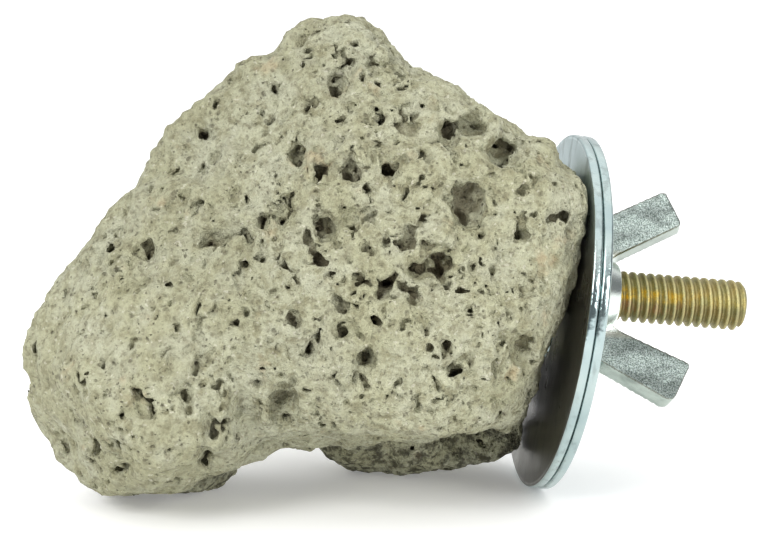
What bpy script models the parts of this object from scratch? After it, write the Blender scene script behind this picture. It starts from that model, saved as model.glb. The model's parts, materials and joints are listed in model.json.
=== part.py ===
"""A lump of porous lava rock with a clamp for cage wires: a threaded stud, two large washers and a wing nut.

+X runs along the stud, away from the rock, and +Z is up. The object lies on its own low points: two feet of
the rock and the washers' rims. The origin is on the floor, under the middle of the object's box.
"""

import math

import bmesh
import bpy
import numpy as np
from mathutils import Matrix, Vector, noise
from mathutils.bvhtree import BVHTree

MM = 0.001
GAP = 0.3  # between pieces that touch, mm

# Driving sizes, mm. Until the last step the middle of the inner washer's rock side is at (0, 0, 0).
WASHER_RADIUS = 27.0
WASHER_BORE_RADIUS = 7.3
WASHER_THICKNESS = 1.28
WASHER_DIP = math.radians(8.2)  # the rock's end isn't square, so the washers lean more than the stud
WASHER_SIDES = 72

STUD_RADIUS = 3.85  # 5/16 inch thread, 18 turns to the inch
STUD_PITCH = 25.4 / 18
THREAD_DEPTH = 0.75
STUD_DIP = math.radians(5.55)
STUD_RISE = 3.05  # the stud's axis passes this far above the washers' middle
STUD_OUT = 31.0  # from the washers' rock side to the stud's tip
STUD_IN = 29.0  # and to its end in the rock
THREAD_IN = 1.5  # the thread starts this far inside the rock
TIP_CHAMFER = 0.9
THREAD_SIDES = 16

NUT_START = 3.5
NUT_HEIGHT = 7.6
NUT_BORE_RADIUS = STUD_RADIUS + 0.2
NUT_BASE_RADIUS = 7.6
NUT_END_RADIUS = 5.0
NUT_SIDES = 36
NUT_ROLL = math.radians(-22.0)  # the upper wing has turned towards the back
WING_THICKNESS = 2.4
# The nut is cast, and its wings aren't quite alike. Each corner: (along the axis from the nut's base, out
# from the axis, corner radius).
UPPER_WING = (
    (0.6, 4.6, 0), (0.6, 7.4, 0), (3.8, 11.6, 2.5), (14.3, 17.3, 1.5),
    (17.3, 11.4, 1.5), (7, 6.6, 2), (5.2, 4.6, 0),
)
LOWER_WING = (
    (0.6, 4.6, 0), (0.6, 7.4, 0), (3.8, 11.6, 2.5), (15.4, 17.3, 1.7),
    (18.7, 10.1, 1), (7.6, 5.8, 2), (5.4, 4.6, 0),
)

HOLE_RADIUS = STUD_RADIUS + GAP
HOLE_DEPTH = STUD_IN + GAP
HOLE_SIDES = 18

# The rock's lumps: each is the convex hull of its corners, mm.
PEAK_AND_FACE = (
    (-36, -4, 44.2), (-28.5, -7, 44.2), (-25.5, -3, 41.4), (-28, 5, 43.4), (-35, 6, 43.4),
    (-42.5, -5, 39.4), (-48.5, -7, 34), (-46, 12, 30),
    (-21.8, -8, 35.6), (-15.5, -10, 33.2), (-10, -13, 29.6), (-5, -15, 27.4), (-4.5, 8, 25.5), (-14.5, 8, 31),
    (-33, -20, 26), (-18.5, -22, 25), (-8, -21, 23), (-45, -20, 15),
    (-2, -21, 23.6), (1.2, -19.5, 19), (1.8, -16, 14), (-1, -16, 0), (-6.5, -15, -14),
    (-50, -24.5, 2), (-38, -28.5, -4), (-22, -30.5, 2), (-8, -28, 2), (-2.8, -24, 4),
    (-45, -23, -12), (-36, -24, -13.8), (-20, -27, -13), (-11, -25, -12.5),
    (-44, -8, -19.5), (-37, -8, -17), (-20, -6, -16), (-8, -8, -15.5), (-34, 6, -20), (-45, 12, -17),
    (3.2, -8, 21), (3, 9, 19), (1, 16, 5), (-2, 11, -14), (-3.4, -5, -17.5),
    (-12, 27, 14), (-30, 32, 10), (-44, 28, 6), (-30, 28, -14), (-12, 24, -12), (-28, 20, 32),
)
LEFT_LIMB = (
    (-41.5, -3, 40.4), (-48.5, -4, 37.2), (-55.2, -5, 31.6), (-61, -5, 23), (-67.2, -6, 14.4),
    (-74.2, -6, 5.8), (-76.6, -5, 2.4), (-78.6, -6, -4), (-78.8, -4, -9), (-78.2, -3, -14), (-76, -6, -18.3),
    (-72.4, -6, -22), (-69.6, -6, -25), (-64, -12, -24), (-58, -13, -24), (-51, -12, -22.5),
    (-42, -20, 21), (-50, -24, 8), (-57, -26.5, -2), (-66, -24.5, -6), (-72, -20, -6),
    (-62, -26.5, -12), (-51, -26, -12), (-60, -23, -19), (-46, -15, -21), (-42, -14, -18.5),
    (-42, 20, 28), (-53, 20, 17), (-63, 17, 9), (-72, 11, 0),
    (-71, 11, -10), (-63, 17, -17), (-52, 17, -22), (-58, 10, -28.9), (-66, 3, -28.3),
    (-62, -1, -28.4), (-55, -1, -28.2), (-51, 7, -28.2), (-44, 16, -14),
)
BACK_FOOT = (
    (-35, 3, -22), (-29, 0, -22.6), (-23, 0, -23.7), (-17, 1, -24.8), (-12, 1, -24.6), (-6, 1, -23.8),
    (-2.6, 1, -20.8), (-29, 13, -28.6), (-15, 13, -28.4), (-22, 20, -29), (-10, 19, -25), (-36, 21, -20),
    (-7, 18, -16),
    (-30, 27, -10), (-12, 25, -8), (-30, 0, -10), (-8, 0, -10), (-2.6, 8, -20),
)
LUMPS = (PEAK_AND_FACE, LEFT_LIMB, BACK_FOOT)

ROCK_GRAIN = 0.6  # mesh size while the rock is carved
ROCK_SMOOTHING = 34
ROCK_TRIANGLES = 6300
# Uneven ground of the surface: (size of the bumps, height), mm.
UNDULATIONS = ((17.0, 1.2), (7.0, 0.8), (3.2, 0.5), (1.7, 0.25))

# The larger pits of the front are laid out on the upright plane through the stud, as they line up seen from
# EYE: (across, up, width, height, depth), mm.
EYE = Vector((-59.1, -296.0, 48.7))
PEAK_PITS = (
    (-32, 34.5, 2, 4.5, 1.6), (-29.5, 37, 2, 2, 1.4), (-26.5, 30, 2.4, 3, 1.8),
    (-23, 29.5, 1.5, 1.5, 1), (-38, 24, 2.2, 5, 2), (-30, 22, 2.4, 3.8, 2),
    (-24, 22, 2.2, 3, 1.8), (-27, 19, 1.6, 1.8, 1.2), (-33.5, 22, 1.4, 2.2, 1.2),
    (-52, 27.5, 2.4, 1.6, 1),
)
SHOULDER_PITS = (
    (-15, 27.5, 2.6, 3, 2.2), (-11.5, 28.5, 3.6, 3.6, 2.6), (-6.5, 24.5, 4.6, 3.2, 3),
    (-12, 16.5, 5, 6.5, 2.6), (-21.5, 17.5, 1.8, 2.2, 1.4), (-4, 12.5, 1.6, 2.8, 1.5),
    (-16.5, 8, 4.2, 4.8, 3.2), (-20, 6.5, 3, 2.2, 2),
)
FACE_PITS = (
    (-33.5, 13.5, 3.6, 3.6, 2.4), (-30, 14.5, 2.6, 3, 2), (-24.5, 4.5, 3.2, 2.2, 1.8),
    (-31, 1, 2.2, 1.8, 1.3), (-31, -2, 2.6, 2, 1.5), (-19.5, 3, 2.6, 1.8, 1.3),
    (-12, 0, 2.6, 2, 1.5), (-28, -7, 3, 3.6, 2.4), (-15.5, -5.5, 1.8, 1.8, 1.2),
    (-14, -9, 2.6, 2, 1.6), (-3, -6, 2.8, 4.8, 2.4), (-38.5, -1, 2, 2.2, 1.4),
    (-36, -5, 1.5, 3.6, 1.6), (-40.5, -14.5, 4.6, 6.4, 2.6),
)
LIMB_PITS = (
    (-51.5, 11.5, 4.2, 3.2, 1.5), (-45, 11.5, 1.8, 1.8, 1.3), (-40.5, 14.5, 2.2, 2.2, 1.5),
    (-43, 14.5, 1.8, 2.6, 1.5), (-45.5, 7, 1.8, 1.5, 1), (-60.5, 10, 3.2, 2.8, 1.4),
    (-62, -13, 1.5, 4.2, 1.6), (-55, -12.5, 1.5, 3.8, 1.6), (-51, -17, 2.2, 4.6, 2.2),
    (-52, -22, 1.8, 3.2, 1.6), (-72.5, -19.5, 2.2, 2.2, 1.3), (-64.5, -23, 2.6, 1.8, 1.3),
)
FRONT_PITS = PEAK_PITS + SHOULDER_PITS + FACE_PITS + LIMB_PITS
PIT_STEEPNESS = (0.5, 1.1)  # a pit's floor ends and its rim lies at these shares of its half width
# The sides that face away from EYE have pits of the same kind, scattered.
SCATTERED_PITS = 60
SCATTERED_WIDTHS = (1.8, 4.8)
SCATTER_SEED = 5


def clear_scene():
    for obj in list(bpy.data.objects):
        bpy.data.objects.remove(obj, do_unlink=True)


def material(name, colour, roughness, metallic=0.0):
    made = bpy.data.materials.new(name)
    made.use_nodes = True
    shader = made.node_tree.nodes["Principled BSDF"]
    shader.inputs["Base Color"].default_value = (*colour, 1.0)
    shader.inputs["Roughness"].default_value = roughness
    shader.inputs["Metallic"].default_value = metallic
    made.diffuse_color = (*colour, 1.0)
    return made


def add_object(name, mesh, look=None):
    obj = bpy.data.objects.new(name, mesh)
    bpy.context.scene.collection.objects.link(obj)
    if look:
        mesh.materials.append(look)
    return obj


def mesh_from(bm, name, smooth_below=None):
    """A mesh in metres from a bmesh in mm, shaded smooth across edges flatter than the given angle."""
    bmesh.ops.scale(bm, vec=Vector((MM, MM, MM)), verts=bm.verts)
    mesh = bpy.data.meshes.new(name)
    bm.to_mesh(mesh)
    bm.free()
    if smooth_below is not None:
        mesh.shade_smooth()
        mesh.set_sharp_from_angle(angle=smooth_below)
    return mesh


def along_x(dip, start=(0.0, 0.0, 0.0), roll=0.0):
    """The placement of a piece turned about its own +X, which then dips towards the floor by this angle."""
    turn = Matrix.Rotation(dip, 4, "Y") @ Matrix.Rotation(roll, 4, "X")
    return Matrix.Translation(Vector(start) * MM) @ turn


WASHER_AXIS = Matrix.Rotation(WASHER_DIP, 3, "Y") @ Vector((1, 0, 0))
WASHER_UP = Matrix.Rotation(WASHER_DIP, 3, "Y") @ Vector((0, 0, 1))
STUD_AXIS = Matrix.Rotation(STUD_DIP, 3, "Y") @ Vector((1, 0, 0))
STUD_START = WASHER_UP * STUD_RISE
FLOOR = (WASHER_AXIS * (2 * WASHER_THICKNESS + GAP) - WASHER_UP * WASHER_RADIUS).z


def turned(bm, profile, sides):
    """A closed ring turned about X from a profile of (x, radius) points."""
    rings = []
    for x, radius in profile:
        angles = (2 * math.pi * i / sides for i in range(sides))
        rings.append([bm.verts.new((x, radius * math.cos(a), radius * math.sin(a))) for a in angles])
    for one, other in zip(rings, rings[1:] + rings[:1]):
        for i in range(sides):
            j = (i + 1) % sides
            bm.faces.new((one[i], one[j], other[j], other[i]))
    bmesh.ops.recalc_face_normals(bm, faces=bm.faces)


def make_washer(name, start, look):
    bm = bmesh.new()
    far = WASHER_THICKNESS
    profile = ((0, WASHER_BORE_RADIUS), (0, WASHER_RADIUS), (far, WASHER_RADIUS), (far, WASHER_BORE_RADIUS))
    turned(bm, profile, WASHER_SIDES)
    washer = add_object(name, mesh_from(bm, name, math.radians(30)), look)
    washer.matrix_world = along_x(WASHER_DIP, WASHER_AXIS * start)
    return washer


def make_stud(look):
    """One helical grid of crests and roots. Where it would pass the thread's ends, it runs into rings."""
    bm = bmesh.new()
    root_radius = STUD_RADIUS - THREAD_DEPTH
    thread_end = STUD_OUT - 0.4
    tip_radius = STUD_RADIUS - TIP_CHAMFER
    half_turns = math.ceil((thread_end + THREAD_IN) / (STUD_PITCH / 2)) + 3
    columns = []
    for i in range(THREAD_SIDES):
        angle = 2 * math.pi * i / THREAD_SIDES
        direction = Vector((0, math.cos(angle), math.sin(angle)))
        rows = [(-STUD_IN, root_radius - 0.6), (-STUD_IN + 1.2, root_radius), (-THREAD_IN, root_radius)]
        for k in range(-1, half_turns):
            x = -THREAD_IN + STUD_PITCH * (i / THREAD_SIDES + k / 2)
            if -THREAD_IN + 0.05 < x < thread_end - 0.05:
                taper = min(STUD_RADIUS, tip_radius + (thread_end - x) * 0.8)
                rows.append((x, root_radius if k % 2 else taper))
            else:
                rows.append(None)
        rows += [(thread_end, min(root_radius, tip_radius)), (STUD_OUT, tip_radius - 0.35)]
        columns.append([bm.verts.new((r[0], *(direction * r[1]).yz)) if r else None for r in rows])
    plain = 3
    for i, column in enumerate(columns):
        following = columns[(i + 1) % THREAD_SIDES]
        step = 2 if i == THREAD_SIDES - 1 else 0
        close_strip(bm, column, following, step, plain)
    bmesh.ops.holes_fill(bm, edges=[e for e in bm.edges if e.is_boundary])
    bmesh.ops.triangulate(bm, faces=bm.faces)
    bmesh.ops.recalc_face_normals(bm, faces=bm.faces)
    stud = add_object("threaded_stud", mesh_from(bm, "threaded_stud"), look)
    stud.matrix_world = along_x(STUD_DIP, STUD_START)
    return stud


def close_strip(bm, left, right, step, plain):
    """Fills the strip between two columns. Across the last one the thread has risen by a turn, which is
    step rows."""
    thread = left[plain:-2]
    risen = right[plain:-2]
    rungs = list(zip(left[:plain], right[:plain]))
    for k, vert in enumerate(thread):
        other = risen[k + step] if 0 <= k + step < len(risen) else None
        rungs.append((vert, other))
    if step:
        rungs[plain:plain] = [(None, vert) for vert in risen[:step]]
    rungs += list(zip(left[-2:], right[-2:]))
    for (a, b), (c, d) in pair_up(rungs):
        corners = [v for v in dict.fromkeys((a, b, d, c))]
        if len(corners) >= 3:
            bm.faces.new(corners)


def pair_up(rungs):
    """Each rung with the next, where a side that has no point of its own stays at the last one that had."""
    a, b = rungs[0]
    for c, d in rungs[1:]:
        c, d = c or a, d or b
        if (c, d) != (a, b):
            yield (a, b), (c, d)
        a, b = c, d


def filleted(outline, steps=5):
    """The outline's points with each corner that has a radius replaced by an arc."""
    points = []
    count = len(outline)
    for i, (x, y, radius) in enumerate(outline):
        corner = Vector((x, y))
        if not radius:
            points.append(corner)
            continue
        before = (Vector(outline[i - 1][:2]) - corner).normalized()
        after = (Vector(outline[(i + 1) % count][:2]) - corner).normalized()
        half = before.angle(after) / 2
        centre = corner + (before + after).normalized() * radius / math.sin(half)
        first = corner + before * radius / math.tan(half) - centre
        last = corner + after * radius / math.tan(half) - centre
        for k in range(steps + 1):
            points.append(centre + first.lerp(last, k / steps).normalized() * radius)
    return points


def make_wing(name, outline, side):
    """One flat wing, standing on the nut's side at +Z or, for side -1, at -Z."""
    bm = bmesh.new()
    half = WING_THICKNESS / 2
    rim = [bm.verts.new((p.x, -half, p.y * side)) for p in filleted(outline)]
    face = bm.faces.new(rim)
    raised = bmesh.ops.extrude_face_region(bm, geom=[face])["geom"]
    far_rim = [g for g in raised if isinstance(g, bmesh.types.BMVert)]
    bmesh.ops.translate(bm, vec=(0, 2 * half, 0), verts=far_rim)
    bmesh.ops.recalc_face_normals(bm, faces=bm.faces)
    wing = add_object(name, mesh_from(bm, name))
    hide_helper(wing)
    return wing


def hide_helper(obj):
    obj.hide_render = True
    obj.display_type = "WIRE"


def boolean(obj, operation, other):
    modifier = obj.modifiers.new(operation.title(), "BOOLEAN")
    modifier.operation = operation
    modifier.solver = "EXACT"
    modifier.object = other


def make_wing_nut(look):
    bm = bmesh.new()
    profile = (
        (0, NUT_BORE_RADIUS),
        (0, NUT_BASE_RADIUS - 0.5),
        (0.5, NUT_BASE_RADIUS),
        (1.6, NUT_BASE_RADIUS - 0.2),
        (NUT_HEIGHT - 0.7, NUT_END_RADIUS + 0.2),
        (NUT_HEIGHT, NUT_END_RADIUS - 0.35),
        (NUT_HEIGHT, NUT_BORE_RADIUS),
    )
    turned(bm, profile, NUT_SIDES)
    nut = add_object("wing_nut", mesh_from(bm, "wing_nut", math.radians(30)), look)
    place = along_x(STUD_DIP, STUD_START + STUD_AXIS * NUT_START, NUT_ROLL)
    nut.matrix_world = place
    for name, outline, side in (("upper_wing_tool", UPPER_WING, 1), ("lower_wing_tool", LOWER_WING, -1)):
        wing = make_wing(name, outline, side)
        wing.matrix_world = place
        boolean(nut, "UNION", wing)
    return nut


def rough_lump():
    """The lumps' hulls, joined by a voxel remesh and rounded off, as a mesh in mm."""
    bm = bmesh.new()
    for corners in LUMPS:
        verts = [bm.verts.new(corner) for corner in corners]
        hull = bmesh.ops.convex_hull(bm, input=verts)
        unused = [g for g in hull["geom_interior"] if isinstance(g, bmesh.types.BMVert)]
        bmesh.ops.delete(bm, geom=unused, context="VERTS")
    mesh = bpy.data.meshes.new("lumps")
    bm.to_mesh(mesh)
    bm.free()
    obj = add_object("lumps", mesh)
    remesh = obj.modifiers.new("Remesh", "REMESH")
    remesh.mode = "VOXEL"
    remesh.voxel_size = ROCK_GRAIN
    smooth = obj.modifiers.new("Smooth", "SMOOTH")
    smooth.factor = 0.5
    smooth.iterations = ROCK_SMOOTHING
    return plain_mesh(obj)


def plain_mesh(obj):
    """The object's mesh with its modifiers applied. The object itself is removed."""
    made = bpy.data.meshes.new_from_object(obj.evaluated_get(bpy.context.evaluated_depsgraph_get()))
    bpy.data.objects.remove(obj)
    return made


def columns_of(mesh, what):
    values = np.empty(len(mesh.vertices) * 3, np.float32)
    mesh.vertices.foreach_get(what, values)
    return values.reshape(-1, 3).astype(float)


def put_points(mesh, points):
    mesh.vertices.foreach_set("co", points.astype(np.float32).ravel())
    mesh.update()


def noise_at(points, size, shift):
    offset = Vector((11.3, 5.7, 8.9)) * shift
    return np.array([noise.noise(Vector(p) / size + offset) for p in points])


def front_pits(tree):
    """Where each pit of the front meets the rock: its middle, its way in, the view that its outline is laid
    out in, its half width, half height and depth."""
    for across, up, width, height, depth in FRONT_PITS:
        look = (Vector((across, 0, up)) - EYE).normalized()
        middle, normal, _, _ = tree.ray_cast(EYE, look)
        if middle is None:
            continue
        yield middle, (look * 0.5 - normal).normalized(), look, width / 2, height / 2, depth


def scattered_pits(points, normals):
    """Pits on the sides that face away from EYE, no two of them overlapping."""
    chance = np.random.default_rng(SCATTER_SEED)
    low, high = SCATTERED_WIDTHS
    taken = []
    for index in chance.permutation(len(points)):
        middle, normal = Vector(points[index]), Vector(normals[index])
        if normal.dot((EYE - middle).normalized()) > 0.12:
            continue
        width = low + (high - low) * chance.random() ** 2.2
        if any((middle - other).length < (width + size) * 0.75 for other, size in taken):
            continue
        taken.append((middle, width))
        yield middle, -normal, -normal, width / 2, width / 2 * chance.uniform(0.7, 1.5), width * 0.6
        if len(taken) == SCATTERED_PITS:
            return


def carve_pits(points, normals, pits):
    """Pushes the surface in at each pit. Overlapping pits share the deeper floor."""
    waves = 1 + 0.3 * noise_at(points, 1.6, 7) + 0.2 * noise_at(points, 0.8, 9)
    floor_end, rim = PIT_STEEPNESS
    deepest = np.zeros(len(points))
    push = np.zeros_like(points)
    for middle, inward, look, half_width, half_height, depth in pits:
        across = look.cross(Vector((0, 0, 1)) if abs(look.z) < 0.9 else Vector((0, 1, 0))).normalized()
        up = across.cross(look)
        away = points - np.array(middle)
        near = np.linalg.norm(away, axis=1) < 2.0 * max(half_width, half_height) + 1
        reach = np.hypot(away[near] @ np.array(across) / half_width, away[near] @ np.array(up) / half_height)
        share = np.clip((rim - reach * waves[near]) / (rim - floor_end), 0, 1)
        sunk = depth * share * share * (3 - 2 * share)
        deeper = sunk > deepest[near]
        chosen = np.flatnonzero(near)[deeper]
        deepest[chosen] = sunk[deeper]
        push[chosen] = np.array(inward) * sunk[deeper, None]
    points += push


def rest_and_seat(points):
    """Flattens the feet at the floor and the rock's end at the inner washer."""
    np.maximum(points[:, 2], FLOOR, out=points[:, 2])
    axis = np.array(WASHER_AXIS)
    past = np.maximum(points @ axis + GAP, 0)
    points -= past[:, None] * axis


def make_rock(look):
    mesh = rough_lump()
    points = columns_of(mesh, "co")
    normals = columns_of(mesh, "normal")
    for shift, (size, height) in enumerate(UNDULATIONS, start=1):
        points += normals * (height * noise_at(points, size, shift))[:, None]
    put_points(mesh, points)
    normals = columns_of(mesh, "normal")
    faces = [tuple(face.vertices) for face in mesh.polygons]
    tree = BVHTree.FromPolygons([Vector(p) for p in points], faces)
    carve_pits(points, normals, [*front_pits(tree), *scattered_pits(points, normals)])
    rest_and_seat(points)
    put_points(mesh, points)
    carved = add_object("carved", mesh)
    decimate = carved.modifiers.new("Decimate", "DECIMATE")
    decimate.ratio = ROCK_TRIANGLES / (2 * len(mesh.polygons))
    decimate.use_collapse_triangulate = True
    plain = plain_mesh(carved)
    points = columns_of(plain, "co")
    rest_and_seat(points)
    put_points(plain, points * MM)
    plain.name = "lava_rock"
    rock = add_object("lava_rock", plain, look)
    boolean(rock, "DIFFERENCE", make_drill())
    return rock


def make_drill():
    """The cutter of the stud's blind hole."""
    bm = bmesh.new()
    length = HOLE_DEPTH + STUD_OUT
    bmesh.ops.create_cone(
        bm, cap_ends=True, segments=HOLE_SIDES, radius1=HOLE_RADIUS, radius2=HOLE_RADIUS, depth=length
    )
    bmesh.ops.rotate(bm, verts=bm.verts, matrix=Matrix.Rotation(math.pi / 2, 3, "Y"))
    bmesh.ops.translate(bm, verts=bm.verts, vec=(length / 2 - HOLE_DEPTH, 0, 0))
    drill = add_object("drill_tool", mesh_from(bm, "drill_tool"))
    drill.matrix_world = along_x(STUD_DIP, STUD_START)
    hide_helper(drill)
    return drill


def stand_at_origin():
    """Moves the whole object so that the middle of its box's underside is at the origin."""
    bpy.context.view_layer.update()
    graph = bpy.context.evaluated_depsgraph_get()
    corners = []
    for obj in bpy.context.scene.objects:
        if obj.hide_render:
            continue
        evaluated = obj.evaluated_get(graph)
        points = columns_of(evaluated.to_mesh(), "co")
        turn = np.array(obj.matrix_world.to_3x3())
        placed = points @ turn.T + np.array(obj.matrix_world.translation)
        corners += [placed.min(axis=0), placed.max(axis=0)]
        evaluated.to_mesh_clear()
    low, high = np.min(corners, axis=0), np.max(corners, axis=0)
    shift = Vector((-(low[0] + high[0]) / 2, -(low[1] + high[1]) / 2, -low[2]))
    for obj in bpy.context.scene.objects:
        obj.matrix_world = Matrix.Translation(shift) @ obj.matrix_world
    print("box in mm:", np.round((high - low) / MM, 2), "moved by:", np.round(np.array(shift) / MM, 3))
    return shift


def main():
    clear_scene()
    stone = material("lava stone", (0.47, 0.45, 0.33), 0.95)
    yellow_zinc = material("yellow zinc", (0.55, 0.42, 0.16), 0.35, 1.0)
    bright_zinc = material("bright zinc", (0.62, 0.67, 0.66), 0.3, 1.0)
    cast_zinc = material("cast zinc", (0.55, 0.57, 0.54), 0.42, 1.0)
    make_rock(stone)
    make_stud(yellow_zinc)
    make_washer("washer_inner", 0.0, bright_zinc)
    make_washer("washer_outer", WASHER_THICKNESS + GAP, bright_zinc)
    make_wing_nut(cast_zinc)
    return stand_at_origin()


if __name__ == "__main__":
    main()
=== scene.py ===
# %% [markdown]
# # A lump of lava rock with a clamp for cage wires
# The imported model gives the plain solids: a rock, a threaded stud, two washers and a wing nut. This
# lesson dresses each of them. The rock becomes porous, the stud gets its real thread, and the metal parts
# get their rounded edges and plating. Each piece stands exactly where its plain solid stands, so nothing
# is fitted later.

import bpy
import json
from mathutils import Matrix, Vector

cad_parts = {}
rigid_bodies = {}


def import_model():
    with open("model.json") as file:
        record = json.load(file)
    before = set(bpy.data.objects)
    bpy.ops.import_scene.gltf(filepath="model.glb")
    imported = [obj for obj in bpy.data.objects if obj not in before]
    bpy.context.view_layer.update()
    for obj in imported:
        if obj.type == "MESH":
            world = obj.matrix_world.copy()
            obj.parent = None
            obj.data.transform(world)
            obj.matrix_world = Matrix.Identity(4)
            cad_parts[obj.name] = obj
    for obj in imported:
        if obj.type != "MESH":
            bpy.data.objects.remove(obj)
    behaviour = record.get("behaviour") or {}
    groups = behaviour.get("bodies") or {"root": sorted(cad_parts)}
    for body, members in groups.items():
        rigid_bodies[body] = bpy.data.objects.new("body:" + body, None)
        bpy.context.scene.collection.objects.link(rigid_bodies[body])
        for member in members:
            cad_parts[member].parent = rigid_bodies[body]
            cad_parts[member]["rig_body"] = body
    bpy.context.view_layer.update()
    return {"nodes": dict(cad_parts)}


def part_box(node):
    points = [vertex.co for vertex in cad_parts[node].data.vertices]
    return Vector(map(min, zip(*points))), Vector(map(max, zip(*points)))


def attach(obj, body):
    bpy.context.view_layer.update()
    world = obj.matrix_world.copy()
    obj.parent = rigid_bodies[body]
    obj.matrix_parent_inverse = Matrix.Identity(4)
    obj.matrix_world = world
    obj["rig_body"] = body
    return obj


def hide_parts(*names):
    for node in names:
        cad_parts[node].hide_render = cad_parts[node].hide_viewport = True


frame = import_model()

# %% The libraries that the lesson uses
import json
import math
import time

import bmesh
import bpy
import numpy as np
from mathutils import Matrix, Vector
from mathutils.bvhtree import BVHTree

MM = 0.001
started = time.time()

# %% [markdown]
# ## Writing node trees as expressions
# Both materials and Geometry Nodes are trees of nodes. Wiring them one link at a time hides the idea
# behind them, so two small classes do it. `Value` stands for a node's output, and Python's operators on
# it add Math or Vector Math nodes. `Tree.add` makes any other node: its settings are set first, then its
# sockets.

# %% Value: an output that does arithmetic
class Value:
    def __init__(self, tree, socket):
        self.tree = tree
        self.socket = socket

    def _with(self, operation, *others):
        values = (self, *others)
        vectors = any(isinstance(v, tuple) or getattr(v, "is_vector", False) for v in values)
        kind = "ShaderNodeVectorMath" if vectors else "ShaderNodeMath"
        return self.tree.add(kind, {"operation": operation}, *values)

    @property
    def is_vector(self):
        return self.socket.type in ("VECTOR", "RGBA")

    def __add__(self, other):
        return self._with("ADD", other)

    __radd__ = __add__

    def __sub__(self, other):
        return self._with("SUBTRACT", other)

    def __rsub__(self, other):
        return (self * -1) + other

    def __mul__(self, other):
        return self._with("MULTIPLY", other)

    __rmul__ = __mul__

    def __truediv__(self, other):
        return self._with("DIVIDE", other)

    def max(self, other):
        return self._with("MAXIMUM", other)

    def min(self, other):
        return self._with("MINIMUM", other)

    def above(self, limit):
        return self._with("GREATER_THAN", limit)

    def step(self, low, high, to_low=0.0, to_high=1.0, shape="SMOOTHSTEP"):
        """Goes from to_low where the value is low to to_high where it is high, and stays level outside."""
        settings = {"interpolation_type": shape}
        return self.tree.add("ShaderNodeMapRange", settings, self, low, high, to_low, to_high)

    def parts(self):
        """The three numbers of a vector."""
        kind = "ShaderNodeSeparateXYZ"
        first = self.tree.add(kind, None, self)
        return tuple(Value(self.tree, socket) for socket in first.socket.node.outputs)


# %% Tree: one method that adds any node
class Tree:
    def __init__(self, node_tree):
        self.node_tree = node_tree

    def add(self, kind, settings=None, *values, output=0, **named):
        """Adds a node and returns one output. Sockets are given in order or, in named, by name."""
        node = self.node_tree.nodes.new(kind)
        for name, value in (settings or {}).items():
            setattr(node, name, value)
        for index, value in enumerate(values):
            self.plug(self.pick(node.inputs, index), value)
        for name, value in named.items():
            self.plug(self.pick(node.inputs, name.replace("_", " ")), value)
        return Value(self, self.pick(node.outputs, output)) if node.outputs else None

    @staticmethod
    def pick(sockets, key):
        """A socket by its number or its name, among those that the node shows."""
        shown = [socket for socket in sockets if socket.enabled]
        return shown[key] if isinstance(key, int) else next(s for s in shown if s.name == key)

    def plug(self, socket, value):
        """Sets a socket to a number, a vector or a colour, or links it to a Value. None leaves it alone."""
        if value is None:
            return
        if isinstance(value, Value):
            self.node_tree.links.new(value.socket, socket)
        elif socket.type == "VECTOR" and not hasattr(value, "__len__"):
            socket.default_value = (value, value, value)
        elif socket.type == "RGBA" and len(value) == 3:
            socket.default_value = (*value, 1.0)
        else:
            socket.default_value = value

    def length(self, vector):
        return self.add("ShaderNodeVectorMath", {"operation": "LENGTH"}, vector, output="Value")

    def dot(self, one, other):
        return self.add("ShaderNodeVectorMath", {"operation": "DOT_PRODUCT"}, one, other, output="Value")

    def mix(self, factor, one, other):
        """The first colour where the factor is 0, and the second where it is 1."""
        node = self.node_tree.nodes.new("ShaderNodeMix")
        node.data_type = "RGBA"
        for index, value in ((0, factor), (6, one), (7, other)):
            self.plug(node.inputs[index], value)
        return Value(self, node.outputs[2])

    def noise(self, place, size, detail=2.0, roughness=0.5, output="Fac"):
        """Smooth noise from 0 to 1 whose bumps are about this size, in the units of place."""
        return self.add(
            "ShaderNodeTexNoise", None, output=output,
            Vector=place, Scale=1 / size, Detail=detail, Roughness=roughness,
        )

# %% [markdown]
# ## Where the pieces stand
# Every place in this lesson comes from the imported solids. The washers lean a little more than the stud,
# because the rock's end isn't square to it. Both axes dip towards the floor.

# %% The stud's and the washers' axes
WASHER_DIP = math.radians(8.2)
STUD_DIP = math.radians(5.55)
STUD_RISE = 3.05 * MM  # the stud passes this far above the washers' middle


def dipping(angle):
    """The unit vector that points along +X and down by this angle, and the one that points up from it."""
    return Vector((math.cos(angle), 0, -math.sin(angle))), Vector((math.sin(angle), 0, math.cos(angle)))


washer_axis, washer_up = dipping(WASHER_DIP)
stud_axis, stud_up = dipping(STUD_DIP)
CAD_WASHER_THICKNESS = 1.28 * MM
low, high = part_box("washer_inner")
washer_middle = (low + high) / 2 - washer_axis * CAD_WASHER_THICKNESS / 2  # on the side of the rock
stud_start = washer_middle + washer_up * STUD_RISE
print("washers' middle, mm:", [round(x / MM, 2) for x in washer_middle])

# %% [markdown]
# ## The camera
# A long lens a little above the floor, turned slightly to the left. The camera is made first so that the
# pieces can be judged through it.

# %% The camera
CAMERA_TURN = math.radians(-6.6)
CAMERA_DROP = math.radians(8.0)
CAMERA_FROM_WASHERS = Vector((-59.12, -296.02, 48.69)) * MM
FOCAL_LENGTH_MM = 93.5

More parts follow.
